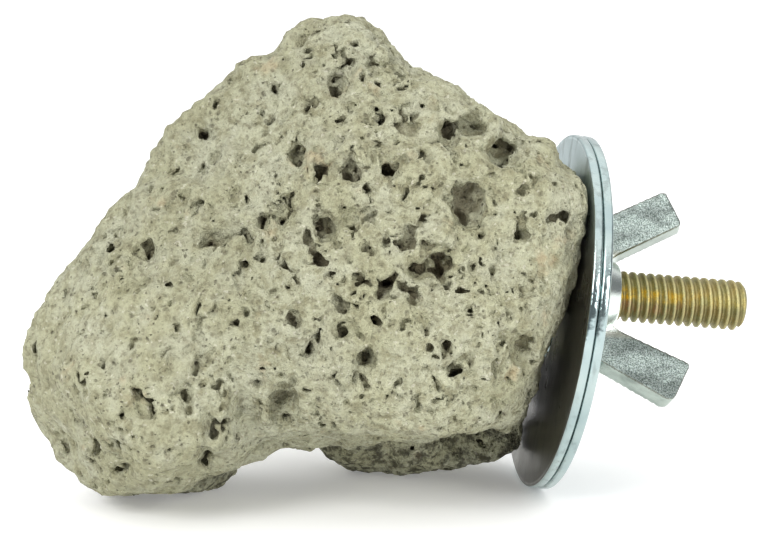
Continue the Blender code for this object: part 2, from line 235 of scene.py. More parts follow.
right = Vector((math.cos(CAMERA_TURN), math.sin(CAMERA_TURN), 0))
forward = Vector((
    -math.sin(CAMERA_TURN) * math.cos(CAMERA_DROP),
    math.cos(CAMERA_TURN) * math.cos(CAMERA_DROP),
    -math.sin(CAMERA_DROP),
))
lens = bpy.data.cameras.new("camera")
lens.lens = FOCAL_LENGTH_MM
lens.clip_start = 0.01
camera = bpy.data.objects.new("camera", lens)
bpy.context.scene.collection.objects.link(camera)
turn = Matrix((right, right.cross(forward), -forward)).transposed()
eye = washer_middle + CAMERA_FROM_WASHERS
camera.matrix_world = Matrix.Translation(eye) @ turn.to_4x4()
bpy.context.scene.camera = camera
print("camera at", [round(x, 4) for x in eye])

# %% [markdown]
# ## Meshes in and out
# Small helpers that the pieces share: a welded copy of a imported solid, a plain mesh from an object with
# modifiers, and the last step that names a finished piece and hangs it on its body.

# %% Helpers for meshes
def add_object(name, mesh):
    obj = bpy.data.objects.new(name, mesh)
    bpy.context.scene.collection.objects.link(obj)
    return obj


def welded_copy(node):
    """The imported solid's mesh with its loose triangles joined. The solid itself stays as it is."""
    bm = bmesh.new()
    bm.from_mesh(frame["nodes"][node].data)
    bmesh.ops.remove_doubles(bm, verts=bm.verts, dist=1e-6)
    mesh = bpy.data.meshes.new(node + "_copy")
    bm.to_mesh(mesh)
    bm.free()
    return mesh


def applied(obj):
    """Turns the object's modifiers into a plain mesh, and removes the object."""
    graph = bpy.context.evaluated_depsgraph_get()
    mesh = bpy.data.meshes.new_from_object(obj.evaluated_get(graph))
    bpy.data.objects.remove(obj)
    return mesh


def finish_piece(name, mesh, material, node):
    """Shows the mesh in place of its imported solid, on the same body."""
    mesh.materials.clear()
    mesh.materials.append(material)
    piece = add_object(name, mesh)
    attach(piece, frame["nodes"][node]["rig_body"])
    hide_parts(node)
    triangles = sum(len(face.vertices) - 2 for face in mesh.polygons)
    print(f"{name}: {triangles} triangles, {time.time() - started:.0f} s so far")


# %% Helpers for Geometry Nodes
def geometry_tree(name, inputs):
    """A new geometry tree with named inputs. Returns the tree, what comes in and the inputs' values."""
    group = bpy.data.node_groups.new(name, "GeometryNodeTree")
    face = group.interface
    face.new_socket("Geometry", in_out="INPUT", socket_type="NodeSocketGeometry")
    face.new_socket("Geometry", in_out="OUTPUT", socket_type="NodeSocketGeometry")
    for label, kind in inputs.items():
        face.new_socket(label, in_out="INPUT", socket_type="NodeSocket" + kind)
    tree = Tree(group)
    first = tree.add("NodeGroupInput")
    outputs = first.socket.node.outputs
    return tree, first, {label: Value(tree, outputs[label]) for label in inputs}


def end_tree(tree, geometry, material):
    """Every tree ends in real geometry with its material."""
    real = tree.add("GeometryNodeRealizeInstances", None, geometry)
    painted = tree.add("GeometryNodeSetMaterial", None, real, Material=material)
    tree.add("NodeGroupOutput", None, painted)


def run_tree(obj, tree, values):
    """Adds the tree to the object as a modifier, with its named inputs set."""
    modifier = obj.modifiers.new(tree.node_tree.name, "NODES")
    modifier.node_group = tree.node_tree
    for item in tree.node_tree.interface.items_tree:
        if item.item_type == "SOCKET" and item.name in values:
            modifier[item.identifier] = values[item.name]

# %% [markdown]
# ## The rock
# Lava rock is stone foam: gas bubbles froze in it, and where the surface has worn away they lie open as
# pits and pores. Pushing the vertices of a mesh in and out can't make that, because a bubble has an
# overhang. So the rock is made as a volume. Geometry Nodes fill a block of small cubes with the distance
# to the rock's skin, carve every bubble out of it, and turn the rest back into a mesh. The bubbles follow
# one rule: they are points scattered in space, each with its own radius. Only the largest pits are placed
# one by one.

# %% The skin that the bubbles are carved from
skin = add_object("rock_skin", welded_copy("lava_rock"))
corners = [v.co.copy() for v in skin.data.vertices]
triangles = [tuple(face.vertices) for face in skin.data.polygons]
skin_search = BVHTree.FromPolygons(corners, triangles)
print("skin:", len(corners), "corners,", len(triangles), "triangles")

# %% [markdown]
# ### Pits placed one by one
# Each row is one pit, as the camera sees it: its place right of and above the washers' middle on the
# upright plane through the stud, its width and height, all in millimetres, and how far it leans in
# degrees. A hollow is a wide dent, an open pit is about as deep as it is wide, and a deep pit looks
# black.

# %% The pits of the side that faces the camera
HOLLOWS = [
    # round the peak
    (-31.9, 34.2, 1.8, 4.6),
    # the shoulder over the washers
    (-11, 28.4, 3.4, 3.7), (-6.6, 24.5, 4.3, 3.4), (-12.6, 16.7, 4.4, 6.7),
    # the middle of the face
    (-37.7, 23.9, 2.1, 4.3), (-29.8, 22, 2.1, 3.7), (-34, 13.1, 3.7, 3.7), (-30.1, 15, 2.4, 1.8),
    (-16.2, 8, 4, 4.6), (-11.9, 0.1, 2.1, 2.1),
    # the lower face
    (-27.9, -6.2, 2.7, 3), (-3.4, -5.8, 2.4, 4.6), (-19.7, -15.3, 3.7, 1.5), (-40.4, -14.5, 4.3, 6.1),
    # the left slope and the lump at its foot
    (-50.2, 12.1, 4.6, 4.3), (-60.4, 10, 3, 2.4),
]
DEEP_PITS = [
    # round the peak
    (-29.9, 36.9, 1.7, 1.7), (-31.7, 32.9, 1.4, 1.5), (-25.6, 29.4, 1.8, 2.1),
    # the shoulder over the washers
    (-15.1, 27.4, 2.1, 2.7), (-6.6, 24.2, 2.1, 1.8), (-12.7, 14.5, 2.1, 2.1),
    # the middle of the face
    (-37.6, 22.7, 1.4, 1.5), (-29.7, 21.1, 0.8, 1.8), (-24.1, 21.8, 2.1, 2.7, 30), (-27.1, 18.9, 1.2, 1.8),
    (-34, 12.9, 2, 2), (-30, 13.2, 1.2, 1.2), (-19.9, 6.7, 2.7, 2.1), (-16.8, 6.8, 2.1, 1.8),
    (-24.9, 4.3, 3, 2.7, 35),
    # the lower face
    (-27.9, -7.3, 1.5, 1.2), (-14, -9, 2.1, 1.8, -35), (-3.5, -8.3, 1.4, 1.4), (-10.1, -19.8, 1.2, 1.5),
    # the left slope and the lump at its foot
    (-51.6, 11.1, 1.5, 1.8), (-50.9, -16.9, 1.5, 3.4),
]
OPEN_PITS = [
    # round the peak
    (-28, 35.7, 1.4, 1.4), (-30.4, 34.5, 0.6, 1.5), (-30.1, 31.1, 0.9, 0.9), (-36.3, 31.9, 0.9, 0.8),
    (-35.5, 28.9, 0.8, 0.8), (-42.1, 29.1, 0.8, 2.1), (-40.4, 29.3, 0.6, 0.8), (-41.8, 34, 1.8, 1.4),
    (-36.6, 39.7, 1.4, 0.9, 35), (-32.3, 38.9, 1.5, 0.9), (-37.3, 42, 1.2, 1.2),
    (-27.3, 38.5, 0.6, 2.7, 30), (-26.2, 30.9, 1.2, 1.2), (-22.6, 29.6, 1.1, 1.1), (-22.9, 30.9, 0.6, 1.5),
    (-31.7, 28.9, 0.8, 1.4), (-31.7, 27, 0.8, 0.8), (-28.2, 26.9, 0.5, 1.2), (-19, 26.4, 0.8, 0.9),
    (-28.6, 25.2, 0.9, 0.8), (-21.9, 34.5, 1.2, 1.5), (-37.3, 37.1, 1.2, 0.6, 35), (-35.4, 36.6, 0.6, 0.9),
    (-52, 27.3, 2.1, 1.2, 35),
    # the shoulder over the washers
    (-9.3, 21.2, 1.5, 0.9), (-14.3, 24, 0.9, 0.9), (-13.5, 22.5, 1.2, 1.5), (-11.6, 22.6, 0.8, 0.9),
    (-3.2, 24.5, 1.1, 0.9), (-4.1, 22.1, 0.6, 1.5), (2.7, 21.1, 0.8, 1.2), (4.2, 19.6, 0.6, 1.2),
    (-3.9, 18.1, 0.9, 1.1), (-8.5, 17.3, 0.8, 1.4), (-8, 14.5, 1.5, 1.1), (-5.1, 15, 0.6, 1.4),
    (0.3, 14.4, 1.1, 1.2), (1.6, 19.4, 0.8, 0.9), (-1.8, 19.3, 0.8, 1.1),
    # the middle of the face
    (-33.4, 22.2, 0.9, 2.1), (-23.2, 18.2, 0.8, 0.9), (-21.4, 17.6, 1.5, 2.1), (-28.2, 10, 0.9, 0.8),
    (-36, 10.2, 0.9, 1.8), (-22.6, 10.2, 2.4, 1.2), (-25, 11.1, 0.6, 1.2), (-18.2, 10.7, 0.9, 1.5),
    (-13.6, 10.5, 0.8, 0.9), (-11.2, 7.4, 0.9, 1.8), (-4.2, 12.1, 1.2, 2.7), (-10.1, 11.7, 1.8, 1.2, 35),
    (-3.3, 4.9, 0.6, 2.4, 30), (-20.5, 3.3, 2.1, 1.5), (-15.1, 3.5, 1.2, 2.3), (-15.7, 1.7, 0.9, 0.8),
    (-5.7, -0.5, 0.6, 1.2), (-6.1, 1.7, 0.9, 0.6), (-3.9, 2.7, 1.2, 0.9), (0.2, 3.9, 0.8, 0.9),
    (-28.5, 5.3, 1.2, 1.5), (-31.4, 1.2, 1.7, 1.7, 35), (-29.7, 0.6, 0.6, 0.9), (-30.9, -2.6, 2.1, 1.8),
    (-25.6, -1.3, 1.5, 1.8, -30), (-18.5, -1, 1.4, 0.8),
    # the lower face
    (-28.7, -9.1, 0.8, 2.1), (-27.8, -11.4, 0.8, 0.8), (-22.4, -11.2, 0.8, 1.2), (-31.7, -8.9, 0.6, 0.8),
    (-38.5, -1.1, 1.5, 1.8), (-36.1, -5.1, 0.6, 3.4), (-37.6, -6.3, 0.6, 0.8), (-15.8, -5.5, 1.2, 1.5),
    (-12.3, -7.6, 1.5, 1.2), (-8.4, -8.5, 0.9, 0.9), (-0.3, -5.8, 1.1, 2), (-6.9, -5.6, 0.9, 0.8),
    (-1.1, -3.7, 0.6, 1.2), (-6.1, -11.5, 0.8, 0.9), (-5, -11.2, 0.6, 0.9), (-7.2, -15, 1.2, 0.8),
    (-14.1, -12.8, 0.8, 0.8), (-16.4, -13.9, 1.2, 0.8), (-17.8, -10.3, 0.9, 1.5), (-41.4, -12, 1.8, 1.2),
    # the left slope and the lump at its foot
    (-45.1, 11.6, 1.4, 1.4), (-43.2, 14, 1.2, 2.4), (-40.6, 14.4, 1.5, 1.1), (-39.6, 15.1, 0.9, 1.2),
    (-39.6, 16.9, 0.9, 1.2), (-38.8, 17.9, 0.8, 0.9), (-41.6, 9, 1.5, 0.9), (-43.6, 9.6, 0.8, 0.9),
    (-45.7, 7.1, 1.8, 1.5), (-39.9, 7.6, 0.9, 0.9), (-39.5, 6.5, 0.9, 0.9), (-53.3, 1, 1.2, 1.2),
    (-50.6, 1.1, 0.6, 1.8), (-57.8, 5.3, 0.9, 1.5), (-54.4, 4.5, 0.5, 1.2), (-47.8, -1.1, 1.4, 1.2),
    (-57.4, 2.5, 0.8, 1.1), (-41.7, 3.8, 0.8, 1.1), (-38.5, -0.6, 1.2, 1.5), (-52.6, 17.1, 1.5, 1.1, 35),
    (-51.4, 16.3, 0.6, 0.9), (-47.6, 16.9, 0.6, 0.9), (-54.5, 18.4, 1.2, 1.5, -30),
    (-61.5, -13.1, 1.2, 4.6, 30), (-64.5, -14.8, 0.8, 1.5, -30), (-58.6, -5.7, 0.8, 1.1, -30),
    (-54.9, -12.6, 1.2, 1.8), (-54.5, -14.2, 0.9, 1.2), (-49.3, -14.1, 0.8, 1.1),
    (-48.4, -16.3, 0.9, 2.4, -30), (-51.9, -21.8, 1.4, 2.7), (-56.5, -25.4, 1.4, 1.4),
    (-65.3, -19.4, 1.1, 1.2), (-64.8, -22.8, 2.1, 1.4), (-57, -20.4, 0.8, 0.9), (-72.9, -19.8, 0.9, 1.4),
    (-49.7, -10.5, 0.6, 2.1, 30), (-46.9, -18.1, 0.8, 1.2), (-63, -4.1, 0.9, 0.9), (-77.1, -4.5, 0.8, 2.1),
]
print(len(HOLLOWS), "hollows,", len(DEEP_PITS), "deep pits and", len(OPEN_PITS), "open pits")

# %% [markdown]
# ### From the camera's plane to the rock
# A ray from the camera through the row's place finds where on the skin the pit lies. Its length then
# points into the stone, halfway between the ray and the skin's own slope. Each pit becomes one point that
# carries three arrows: across it, up it and into it, each divided by the pit's half size in that
# direction. The length of a place's offset along those arrows is then 1 on the wall of the pit, and less
# inside.

# %% Pits as points with three arrows
class Pits:
    def __init__(self):
        self.middles, self.across, self.up, self.inward = [], [], [], []

    def add(self, middle, across, inward, half_width, half_height, depth):
        """Adds a pit. The two arrows needn't be square to each other, and the sizes are in millimetres."""
        across = (across - inward * across.dot(inward)).normalized()
        self.middles.append(middle + inward * (0.25 * depth * MM))
        self.across.append(across / half_width)
        self.up.append(inward.cross(across) / half_height)
        self.inward.append(inward / depth)

    def object(self, name):
        mesh = bpy.data.meshes.new(name)
        mesh.from_pydata(self.middles, [], [])
        for label in ("across", "up", "inward"):
            arrows = mesh.attributes.new(label, "FLOAT_VECTOR", "POINT")
            arrows.data.foreach_set("vector", [x for arrow in getattr(self, label) for x in arrow])
        return add_object(name, mesh)


WALL_WEAR = 0.12  # each side of a pit is this much wider than its row says


def place_pits(pits, rows, depth_share, extra_depth):
    """Places the rows on the skin. A pit's depth is a share of its half size and a little more."""
    for offset, rise, width, height, *lean in rows:
        through = washer_middle + Vector((offset, 0, rise)) * MM
        ray = (through - eye).normalized()
        place, normal, _, _ = skin_search.ray_cast(eye, ray)
        if place is None:
            print("no skin behind", offset, rise)
            continue
        inward = (ray - normal).normalized()  # halfway between the ray and the skin's slope
        across = Matrix.Rotation(-math.radians(sum(lean)), 3, ray) @ right
        half = (width + height) / 4
        depth = half * depth_share + extra_depth
        pits.add(place, across, inward, width / 2 + WALL_WEAR, height / 2 + WALL_WEAR, depth)


hollows = Pits()
place_pits(hollows, HOLLOWS, depth_share=0.6, extra_depth=0.2)
pits = Pits()
place_pits(pits, DEEP_PITS, depth_share=2.0, extra_depth=1.4)
place_pits(pits, OPEN_PITS, depth_share=1.6, extra_depth=0.8)
print(len(hollows.middles), "hollows and", len(pits.middles), "pits found the skin")

# %% [markdown]
# ### Pits on the sides that the camera doesn't see
# The other sides need as many. They are thrown at random, with a fixed seed, on triangles that face away
# from the camera. Most are small, and a few are large.

# %% Scattered pits
rng = np.random.default_rng(7)
points = np.array(corners)[np.array(triangles)]
cross = np.cross(points[:, 1] - points[:, 0], points[:, 2] - points[:, 0])
areas = np.linalg.norm(cross, axis=1) / 2
normals = cross / (2 * areas[:, None])
away = np.einsum("ij,ij->i", normals, points.mean(1) - np.array(eye)) > 0.15
hidden_area = areas[away].sum() / MM**2


def scatter(pits, each_mm2, smallest, largest, depth_share):
    """Throws one pit on about so many square millimetres. Sizes are half widths in millimetres."""
    count = int(hidden_area / each_mm2)
    chosen = rng.choice(np.flatnonzero(away), count, p=areas[away] / areas[away].sum())
    for triangle in chosen:
        weights = rng.dirichlet((1, 1, 1))
        place = Vector(weights @ points[triangle])
        normal = Vector(normals[triangle])
        tilted = (-normal + Vector(rng.normal(0, 0.3, 3))).normalized()
        half = smallest + (largest - smallest) * rng.random() ** 2.5
        tall = half * rng.uniform(0.8, 1.6)
        pits.add(place, Vector(rng.normal(0, 1, 3)), tilted, half, tall, half * depth_share + 0.3)
    return count


wide = scatter(hollows, each_mm2=260, smallest=1.2, largest=3.2, depth_share=0.5)
narrow = scatter(pits, each_mm2=40, smallest=0.4, largest=1.5, depth_share=1.3)
print(wide, "scattered hollows and", narrow, "scattered pits on", round(hidden_area), "mm2")

# %% [markdown]
# ### The tree that makes the rock
# Distances are worked out in millimetres, and they are positive inside the stone. The places are shaken
# by noise before any bubble is measured, so that no bubble is a perfect ball.

# %% Distances for the tree
def depth_under_skin(tree, skin):
    """How far the current place lies under the skin: above zero inside the stone, below zero outside."""
    near = tree.add("GeometryNodeProximity", {"target_element": "FACES"}, skin, output="Distance")
    look = (0.13, 0.21, 0.97)  # any way will do that runs along no edge
    ray = {"Ray_Direction": look, "Ray_Length": 1.0}
    hit = tree.add("GeometryNodeRaycast", None, skin, output="Hit Normal", **ray)
    inside = tree.dot(hit, look).above(0)
    return near / MM * (inside * 2 - 1)


def outside_pits(tree, cloud, place):
    """The distance to the wall of the nearest of the placed pits: below zero inside it."""
    nearest = tree.add("GeometryNodeSampleNearest", None, cloud, place * MM)

    def arrow(name):
        field = tree.add("GeometryNodeInputNamedAttribute", {"data_type": "FLOAT_VECTOR"}, name)
        return tree.add("GeometryNodeSampleIndex", {"data_type": "FLOAT_VECTOR"}, cloud, field, nearest)

    here = tree.add("GeometryNodeInputPosition")
    middle = tree.add("GeometryNodeSampleIndex", {"data_type": "FLOAT_VECTOR"}, cloud, here, nearest)
    offset = place - middle / MM
    across = arrow("across")
    shares = [tree.dot(offset, way) for way in (across, arrow("up"), arrow("inward"))]
    reach = tree.length(tree.add("ShaderNodeCombineXYZ", None, *shares))
    return (reach - 1) / tree.length(across)


def outside_bubbles(tree, place, cell, smallest, largest, share):
    """The distance to the nearest scattered bubble. Only this share of the cells holds one."""
    near = tree.add("ShaderNodeTexVoronoi", None, Vector=place, Scale=1 / cell)
    chances = Value(tree, near.socket.node.outputs["Color"])
    size, exists, _ = chances.parts()
    radius = size * size * (largest - smallest) + smallest
    return near * cell - radius * exists.above(1 - share)


# %% Small changes to the skin
# Each row is a place, how far the change reaches, and how much stone it adds or, below zero, takes away.
LOCAL_SHAPE = (
    # the dip behind the peak, and the slope after it
    ((2.9, -9.0, 65.4), 6.0, -2.8), ((3.0, 0.5, 66.0), 5.5, -2.4), ((5.3, -7.0, 64.0), 5.0, -0.5),
    ((8.0, -13.0, 60.5), 7.0, -0.7), ((12.9, -13.6, 58.9), 6.0, -0.7),
    # the peak's left side and the slope below it
    ((-15.8, -4.0, 68.6), 4.4, 1.0), ((-17.3, -3.2, 67.9), 3.0, -0.3), ((-22.0, -4.3, 65.4), 6.0, 0.6),
    ((-36.0, -4.5, 52.0), 6.0, 0.5), ((-47.0, -6.8, 38.6), 6.0, -0.5), ((-54.3, -6.7, 24.3), 9.0, 0.9),
    # the corner by the washers' top, the end's front edge, and the end below it
    ((20.6, -14.4, 53.2), 4.5, 2.4), ((25.2, -18.0, 43.0), 7.5, 1.6), ((24.0, -18.2, 34.0), 6.5, 1.3),
    ((22.0, -16.0, 24.0), 9.0, -0.7), ((18.5, -10.7, 12.0), 9.0, -0.8),
    # the foot: its left side and its right edge, then the arch and the lump at the back
    ((-44.0, -20.0, 16.0), 14.0, 0.6), ((-25.5, -9.0, 2.0), 10.0, -3.0), ((-14.0, -17.0, 11.0), 14.0, -0.8),
    ((18.5, 1.7, 5.5), 6.0, 0.5), ((-3.0, 0.0, 5.0), 6.0, -0.8),
)

# %% The porous rock's tree
SKIN_WEAR = 0.4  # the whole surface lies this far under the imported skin
rock_tree, first, given = geometry_tree("porous rock", {
    "Hollows": "Object", "Pits": "Object", "Lowest corner": "Vector", "Highest corner": "Vector",
    "Voxel": "Float", "Gap to washers": "Float",
})
smooth = rock_tree.add("GeometryNodeSubdivisionSurface", None, first, Level=1)
here = rock_tree.add("GeometryNodeInputPosition")
mm = here / MM
shaken = mm + (rock_tree.noise(mm, 2.4, 1.0, output="Color") - 0.5) * 3.6
little_shaken = shaken + (rock_tree.noise(mm, 0.9, 0.0, output="Color") - 0.5) * 0.9
shaken = shaken + (rock_tree.noise(mm + 12, 1.3, 1.0, output="Color") - 0.5) * 2.4

relief = (rock_tree.noise(mm, 9.0, 1.0) - 0.5) * 2.4 + (rock_tree.noise(mm, 3.0, 1.0) - 0.5) * 1.8
relief = relief + (rock_tree.noise(mm, 1.2, 1.0, 0.6) - 0.5) * 0.9
stone = depth_under_skin(rock_tree, smooth) + relief - SKIN_WEAR
for middle, reach, amount in LOCAL_SHAPE:
    near = rock_tree.length(mm - middle)
    stone = stone + near.step(0.0, reach, amount, 0.0)

# The front of the foot is cut away under the line of sight, so that the rock stands on its back half.
# Right of the foot's end nothing is cut.
FOOT_END = -14.0
sloping = rock_tree.dot(mm, (0.0, 0.25, 0.97)) + relief * 0.6 - 0.2
stone = stone.min(sloping.max(mm.parts()[0] - FOOT_END))

# The stud's hole is filled first and bored again last, so that no bubble opens it.
HOLE_RADIUS, HOLE_DEPTH = 4.15, 29.3
PLUG_RADIUS, PLUG_DEPTH = 5.5, 33.0
from_stud = mm - tuple(stud_start / MM)
along = rock_tree.dot(from_stud, tuple(stud_axis))
off_axis = rock_tree.length(from_stud - along * tuple(stud_axis))
plug = (off_axis * -1 + PLUG_RADIUS).min(along + PLUG_DEPTH).min(along * -1 + 1.0)
stone = stone.max(plug)
print("tree so far:", len(rock_tree.node_tree.nodes), "nodes")

# %% Pits and bubbles in the tree
# Left of a ridge that runs down from the peak, the bubbles are finer and drawn out along the slope.
RIDGE_TOP = Vector((-9.6, 0, 68.1))
RIDGE_FOOT = Vector((-26.9, 0, 25.1))
ridge_left = (RIDGE_FOOT - RIDGE_TOP).cross(Vector((0, -1, 0))).normalized()
left_of_ridge = rock_tree.dot(shaken - tuple(RIDGE_TOP), tuple(ridge_left))
carved = stone
for name in ("Hollows", "Pits"):
    cloud = rock_tree.add("GeometryNodeObjectInfo", None, given[name], output="Geometry")
    to_wall = outside_pits(rock_tree, cloud, shaken)
    carved = (carved - to_wall.step(0.0, 0.8, 0.25, 0.0)).min(to_wall)  # every pit has a worn, sunken rim
finer = left_of_ridge.step(-3.0, 4.0)
streak = (0.62, 0.0, 0.78)
drawn_out = little_shaken - rock_tree.dot(little_shaken, streak) * finer * 0.45 * streak
calm = mm.parts()[0].step(5.0, 12.0).max(mm.parts()[2].step(27.0, 19.0))  # by the washers and low down
fewer = finer.max(calm * 0.8)
large = outside_bubbles(
    rock_tree, drawn_out * (1, 1, 0.8),
    cell=4.2, smallest=0.4, largest=1.6, share=0.55 - fewer * 0.35,
)
middling = outside_bubbles(
    rock_tree, drawn_out * (1, 1, 0.85) + 40,
    cell=2.3, smallest=0.3, largest=1.0, share=0.75 - fewer * 0.3,
)
small = outside_bubbles(rock_tree, drawn_out + 80, cell=1.5, smallest=0.34, largest=0.62, share=0.8)
off_stud = off_axis.step(8.0, 5.0) * 3  # the stone round the stud has no bubbles
for bubbles, deepest in ((large, 2.4), (middling, 1.3), (small, 0.7)):  # none lies deeper than this
    carved = carved.min(bubbles + (carved - deepest).max(0) * 3 + off_stud)

to_washers = rock_tree.dot(mm - tuple(washer_middle / MM), tuple(washer_axis))
carved = carved.min(to_washers * -1 - given["Gap to washers"] / MM).min(mm.parts()[2])
hole = (off_axis * -1 + HOLE_RADIUS).min(along + HOLE_DEPTH)
carved = carved.min(hole * -1)
print("tree so far:", len(rock_tree.node_tree.nodes), "nodes")

# %% From distances to a mesh
counts = ((given["Highest corner"] - given["Lowest corner"]) / given["Voxel"]).parts()
volume = rock_tree.add(
    "GeometryNodeVolumeCube", None,
    Density=carved * 0.5 + 0.5, Background=0.0, Min=given["Lowest corner"], Max=given["Highest corner"],
    Resolution_X=counts[0], Resolution_Y=counts[1], Resolution_Z=counts[2],
)
surface = rock_tree.add("GeometryNodeVolumeToMesh", None, volume, Threshold=0.5, Adaptivity=0.0)
island = rock_tree.add("GeometryNodeInputMeshIsland", output="Island Index")
members = rock_tree.add("GeometryNodeAccumulateField", {"domain": "POINT"}, 1.0, island, output="Total")
most = rock_tree.add(
    "GeometryNodeAttributeStatistic", {"domain": "POINT"}, surface, None, members, output="Max",
)
loose = rock_tree.add("ShaderNodeMath", {"operation": "LESS_THAN"}, members, most - 0.5)
whole = rock_tree.add("GeometryNodeDeleteGeometry", {"domain": "POINT"}, surface, loose)
stored = rock_tree.add(
    "GeometryNodeStoreNamedAttribute", {"data_type": "FLOAT", "domain": "POINT"},
    whole, None, "depth", stone,
)
shaded = rock_tree.add("GeometryNodeSetShadeSmooth", None, stored)
print("the whole tree:", len(rock_tree.node_tree.nodes), "nodes")

# %% [markdown]
# ### The stone's colour
# The stone is a pale grey-beige glass foam. Veils of lighter and darker grey lie over it, it has white
# flecks and dark specks, and dust and painted shade darken the bottoms of its pits. Pores too fine for
# the mesh are drawn here: the same scattered points darken the colour with painted shade and dent the
# surface through a Bump node. Painted shade also darkens the hollows of the fine relief and the
# underside of the lump at the back, and painted light makes the right side lighter and the left side
# and the top darker.

# %% Helpers for materials
def paint(red, green, blue):
    """A colour mixed from 0 to 255, in the linear numbers that shaders use."""
    shares = (red / 255, green / 255, blue / 255)
    return tuple(c / 12.92 if c <= 0.04045 else ((c + 0.055) / 1.055) ** 2.4 for c in shares)


def new_material(name):
    """An empty material, its tree, and the place on the piece in millimetres."""
    material = bpy.data.materials.new(name)
    material.use_nodes = True
    material.node_tree.nodes.clear()
    tree = Tree(material.node_tree)
    place = tree.add("ShaderNodeTexCoord", output="Object") / MM
    return material, tree, place


def coat_with(tree, **finish):
    """Ends a material in one Principled shader. Numbers and colours are set, and Values are linked."""
    surface = tree.add("ShaderNodeBsdfPrincipled", None, **finish)
    tree.add("ShaderNodeOutputMaterial", None, surface)


# %% The stone's material
lava_stone, tree, place = new_material("lava_stone")
wobbly = place + (tree.noise(place, 0.9, 2.0, output="Color") - 0.5) * 0.9


def fine_pores(cell, smallest, largest, share):
    """1 in the middle of a fine pore and 0 outside."""
    near = tree.add("ShaderNodeTexVoronoi", None, Vector=wobbly, Scale=1 / cell)
    size, exists, _ = Value(tree, near.socket.node.outputs["Color"]).parts()
    radius = (size * (largest - smallest) + smallest) * exists.above(1 - share) + 0.001
    return (near * cell / radius).step(0.2, 1.1, 1.0, 0.0)


crowded = tree.noise(place + 66, 7.0, 2.0, 0.5).step(0.4, 0.6, 0.45, 1.0)
wider_pores = fine_pores(cell=1.5, smallest=0.15, largest=0.5, share=0.85)
pores = wider_pores.max(fine_pores(cell=0.9, smallest=0.1, largest=0.26, share=0.7)) * crowded
crumbs = tree.noise(place + 13, 0.9, 2.0, 0.65)
patches = tree.noise(place, 14.0, 3.0, 0.55)
veils = tree.noise(place, 5.0, 3.0, 0.6).step(0.42, 0.68)
grain = tree.noise(place, 0.55, 3.0, 0.7)
flecks = tree.noise(place + 31, 0.8, 1.0, 0.5).step(0.66, 0.74)
specks = tree.noise(place + 57, 0.5, 1.0, 0.5).step(0.7, 0.76)
depth = tree.add("ShaderNodeAttribute", {"attribute_name": "depth"}, output="Fac")

colour = tree.mix(patches.step(0.35, 0.65), paint(162, 161, 132), paint(173, 173, 147))
mottle = tree.noise(place + 5, 1.6, 3.0, 0.65)
colour = tree.mix(mottle.step(0.3, 0.6), paint(140, 137, 109), colour * 1.06)
colour = tree.mix(veils * 0.4, colour, paint(184, 185, 165))
colour = tree.mix(grain.step(0.3, 0.7), colour * 0.88, colour * 1.05)
stains = tree.noise(place + 83, 6.0, 3.0, 0.6).step(0.62, 0.75)
colour = tree.mix(stains * 0.3, colour, paint(186, 158, 122))
# painted shade: the low parts of the crumbly relief, which the bump below also sinks, are painted darker
colour = tree.mix(crumbs.step(0.3, 0.46, 0.5, 0.0), colour, paint(104, 98, 76))
rightwards, back, upwards = place.parts()
lighter_pit_shade = rightwards.step(5.0, 12.0).max(upwards.step(27.0, 19.0))  # the pits there are paler
colour = tree.mix(flecks * 0.3, colour, paint(226, 222, 204))
colour = tree.mix(specks * 0.5, colour, paint(88, 82, 66))
# painted shade and dust: the deeper a place lies under the skin, the darker it is painted, less so at the
# right and low down
colour = tree.mix(depth.step(0.5, 2.7) * (0.78 - lighter_pit_shade * 0.28), colour, paint(100, 90, 68))
# painted shade: the fine pores are painted dark, for the shade inside holes too small for the mesh
colour = tree.mix(pores * 0.65, colour, paint(86, 80, 62))
# painted shade: the underside of the lump at the back is painted darker, mottled, as if in shadow
painted_underside_shade = back.step(-9.0, -3.0) * upwards.step(17.0, 8.0)
shade = mottle.step(0.4, 0.58, 0.15, 1.0)
colour = tree.mix(painted_underside_shade * 0.78, colour, colour * shade)
# painted light: the stone is painted lighter towards the right and darker towards the left and at the top,
# as the light falls
colour = colour * (rightwards.step(-32.0, 4.0, 0.93, 1.06) * upwards.step(48.0, 60.0, 1.0, 0.95))

worn = rightwards.step(-18.0, -32.0) * upwards.step(40.0, 30.0)  # the lump at the left is rubbed smoother
roughened = (grain - 0.5) * 0.45 + (crumbs - 0.5) * 0.9 + (mottle - 0.5) * 0.4
height = pores * -0.35 + roughened * (1 - worn * 0.4)
bumps = tree.add("ShaderNodeBump", None, Strength=1.0, Distance=MM, Height=height)
coat_with(tree, Base_Color=colour, Roughness=0.92, Specular_IOR_Level=0.3, Normal=bumps)
print("lava_stone:", len(lava_stone.node_tree.nodes), "nodes")

# %% Helpers that mend what thinning tears
def largest_island(bm):
    """The vertices of the largest piece that hangs together."""
    left, islands = set(bm.verts), []
    while left:
        found = [left.pop()]
        for vertex in found:  # the list grows while it is read
            near = {edge.other_vert(vertex) for edge in vertex.link_edges} & left
            left -= near
            found += near
        islands.append(set(found))
    return max(islands, key=len)


